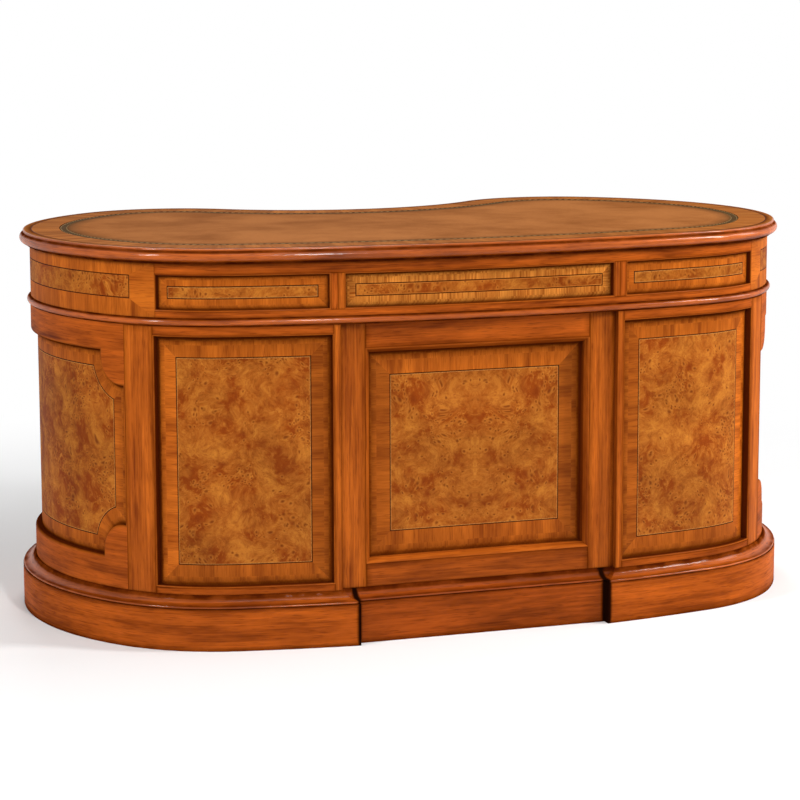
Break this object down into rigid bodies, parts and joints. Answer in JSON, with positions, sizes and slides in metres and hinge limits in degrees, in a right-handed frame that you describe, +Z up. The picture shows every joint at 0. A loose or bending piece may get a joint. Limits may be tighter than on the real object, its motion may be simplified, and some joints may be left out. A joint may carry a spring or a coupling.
{
  "type": "pedestal desk",
  "caption": "Kidney-shaped walnut pedestal desk with a leather writing surface, panelled curved sides, a modesty panel, a coved plinth and sliding drawers with swan-neck pulls.",
  "frame": {"origin": "on the floor, under the middle of the whole width and depth", "axes": "+X along the width, to the right of a visitor who faces the desk; -Y is the visitor's side that the picture shows; +Y is the sitter's side with the drawers; +Z up"},
  "size_m": [1.5998, 0.9538, 0.762],
  "materials": {
    "top_veneer": "glossy lacquered crossbanded walnut veneer",
    "leather": "tooled tan leather",
    "moulding_walnut": "glossy lacquered walnut moulding",
    "frame_walnut": "glossy lacquered straight-grained walnut",
    "burr_walnut": "glossy lacquered burr walnut veneer",
    "side_walnut": "satin walnut veneer",
    "plinth_walnut": "glossy lacquered walnut",
    "drawer_walnut": "glossy lacquered walnut veneer",
    "drawer_lining": "plain oak",
    "carcass_wood": "plain board",
    "brass": "lacquered cast brass"
  },
  "bodies": {
    "desk": {"top_board": "top_veneer", "top_leather": "leather", "top_edge_moulding": "moulding_walnut", "frieze_rail": "frame_walnut", "frieze_panel_right": "burr_walnut", "frieze_panel_left": "burr_walnut", "frieze_panel_centre": "burr_walnut", "frieze_end_right": "frame_walnut", "frieze_end_left": "frame_walnut", "frieze_floor": "carcass_wood", "waist_moulding": "moulding_walnut", "frieze_partition_right": "carcass_wood", "frieze_partition_left": "carcass_wood", "modesty_frame": "frame_walnut", "modesty_panel": "burr_walnut", "plinth_centre": "plinth_walnut", "pedestal_wall_right": "frame_walnut", "pedestal_front_panel_right": "burr_walnut", "pedestal_end_panel_right": "burr_walnut", "pedestal_side_right": "side_walnut", "pedestal_floor_right": "carcass_wood", "pedestal_shelf_right": "carcass_wood", "plinth_right": "plinth_walnut", "pedestal_wall_left": "frame_walnut", "pedestal_front_panel_left": "burr_walnut", "pedestal_end_panel_left": "burr_walnut", "pedestal_side_left": "side_walnut", "pedestal_floor_left": "carcass_wood", "pedestal_shelf_left": "carcass_wood", "plinth_left": "plinth_walnut"},
    "drawer_centre": {"drawer_centre_front": "drawer_walnut", "drawer_centre_box": "drawer_lining", "drawer_centre_pull_mounts": "brass"},
    "drawer_centre_bail_right": {"drawer_centre_bail_right": "brass"},
    "drawer_centre_bail_left": {"drawer_centre_bail_left": "brass"},
    "drawer_frieze_right": {"drawer_frieze_right_front": "drawer_walnut", "drawer_frieze_right_box": "drawer_lining", "drawer_frieze_right_pull_mounts": "brass"},
    "drawer_frieze_right_bail": {"drawer_frieze_right_bail": "brass"},
    "drawer_upper_right": {"drawer_upper_right_front": "drawer_walnut", "drawer_upper_right_box": "drawer_lining", "drawer_upper_right_pull_mounts": "brass"},
    "drawer_upper_right_bail": {"drawer_upper_right_bail": "brass"},
    "drawer_file_right": {"drawer_file_right_front": "drawer_walnut", "drawer_file_right_box": "drawer_lining", "drawer_file_right_pull_mounts": "brass"},
    "drawer_file_right_bail": {"drawer_file_right_bail": "brass"},
    "drawer_frieze_left": {"drawer_frieze_left_front": "drawer_walnut", "drawer_frieze_left_box": "drawer_lining", "drawer_frieze_left_pull_mounts": "brass"},
    "drawer_frieze_left_bail": {"drawer_frieze_left_bail": "brass"},
    "drawer_upper_left": {"drawer_upper_left_front": "drawer_walnut", "drawer_upper_left_box": "drawer_lining", "drawer_upper_left_pull_mounts": "brass"},
    "drawer_upper_left_bail": {"drawer_upper_left_bail": "brass"},
    "drawer_file_left": {"drawer_file_left_front": "drawer_walnut", "drawer_file_left_box": "drawer_lining", "drawer_file_left_pull_mounts": "brass"},
    "drawer_file_left_bail": {"drawer_file_left_bail": "brass"}
  },
  "joints": [
    {"name": "drawer_centre_slide", "type": "slide", "parent": "desk", "child": "drawer_centre", "axis": [0, 1, 0], "range_m": [0, 0.3]},
    {"name": "drawer_centre_bail_right_swing", "type": "hinge", "parent": "drawer_centre", "child": "drawer_centre_bail_right", "pos_m": [0.12583, 0.3176, 0.6959], "axis": [0.9546, 0.2978, 0], "range_deg": [0, 85]},
    {"name": "drawer_centre_bail_left_swing", "type": "hinge", "parent": "drawer_centre", "child": "drawer_centre_bail_left", "pos_m": [-0.12583, 0.3176, 0.6959], "axis": [0.9546, -0.2978, 0], "range_deg": [0, 85]},
    {"name": "drawer_frieze_right_slide", "type": "slide", "parent": "desk", "child": "drawer_frieze_right", "axis": [0, 1, 0], "range_m": [0, 0.4]},
    {"name": "drawer_frieze_right_bail_swing", "type": "hinge", "parent": "drawer_frieze_right", "child": "drawer_frieze_right_bail", "pos_m": [0.46198, 0.46165, 0.6959], "axis": [0.9944, -0.106, 0], "range_deg": [0, 85]},
    {"name": "drawer_upper_right_slide", "type": "slide", "parent": "desk", "child": "drawer_upper_right", "axis": [0, 1, 0], "range_m": [0, 0.4]},
    {"name": "drawer_upper_right_bail_swing", "type": "hinge", "parent": "drawer_upper_right", "child": "drawer_upper_right_bail", "pos_m": [0.46569, 0.46224, 0.5339], "axis": [0.9927, -0.121, 0], "range_deg": [0, 85]},
    {"name": "drawer_file_right_slide", "type": "slide", "parent": "desk", "child": "drawer_file_right", "axis": [0, 1, 0], "range_m": [0, 0.4]},
    {"name": "drawer_file_right_bail_swing", "type": "hinge", "parent": "drawer_file_right", "child": "drawer_file_right_bail", "pos_m": [0.46569, 0.46224, 0.278], "axis": [0.9927, -0.121, 0], "range_deg": [0, 85]},
    {"name": "drawer_frieze_left_slide", "type": "slide", "parent": "desk", "child": "drawer_frieze_left", "axis": [0, 1, 0], "range_m": [0, 0.4]},
    {"name": "drawer_frieze_left_bail_swing", "type": "hinge", "parent": "drawer_frieze_left", "child": "drawer_frieze_left_bail", "pos_m": [-0.46198, 0.46165, 0.6959], "axis": [0.9944, 0.106, 0], "range_deg": [0, 85]},
    {"name": "drawer_upper_left_slide", "type": "slide", "parent": "desk", "child": "drawer_upper_left", "axis": [0, 1, 0], "range_m": [0, 0.4]},
    {"name": "drawer_upper_left_bail_swing", "type": "hinge", "parent": "drawer_upper_left", "child": "drawer_upper_left_bail", "pos_m": [-0.46569, 0.46224, 0.5339], "axis": [0.9927, 0.121, 0], "range_deg": [0, 85]},
    {"name": "drawer_file_left_slide", "type": "slide", "parent": "desk", "child": "drawer_file_left", "axis": [0, 1, 0], "range_m": [0, 0.4]},
    {"name": "drawer_file_left_bail_swing", "type": "hinge", "parent": "drawer_file_left", "child": "drawer_file_left_bail", "pos_m": [-0.46569, 0.46224, 0.278], "axis": [0.9927, 0.121, 0], "range_deg": [0, 85]}
  ]
}
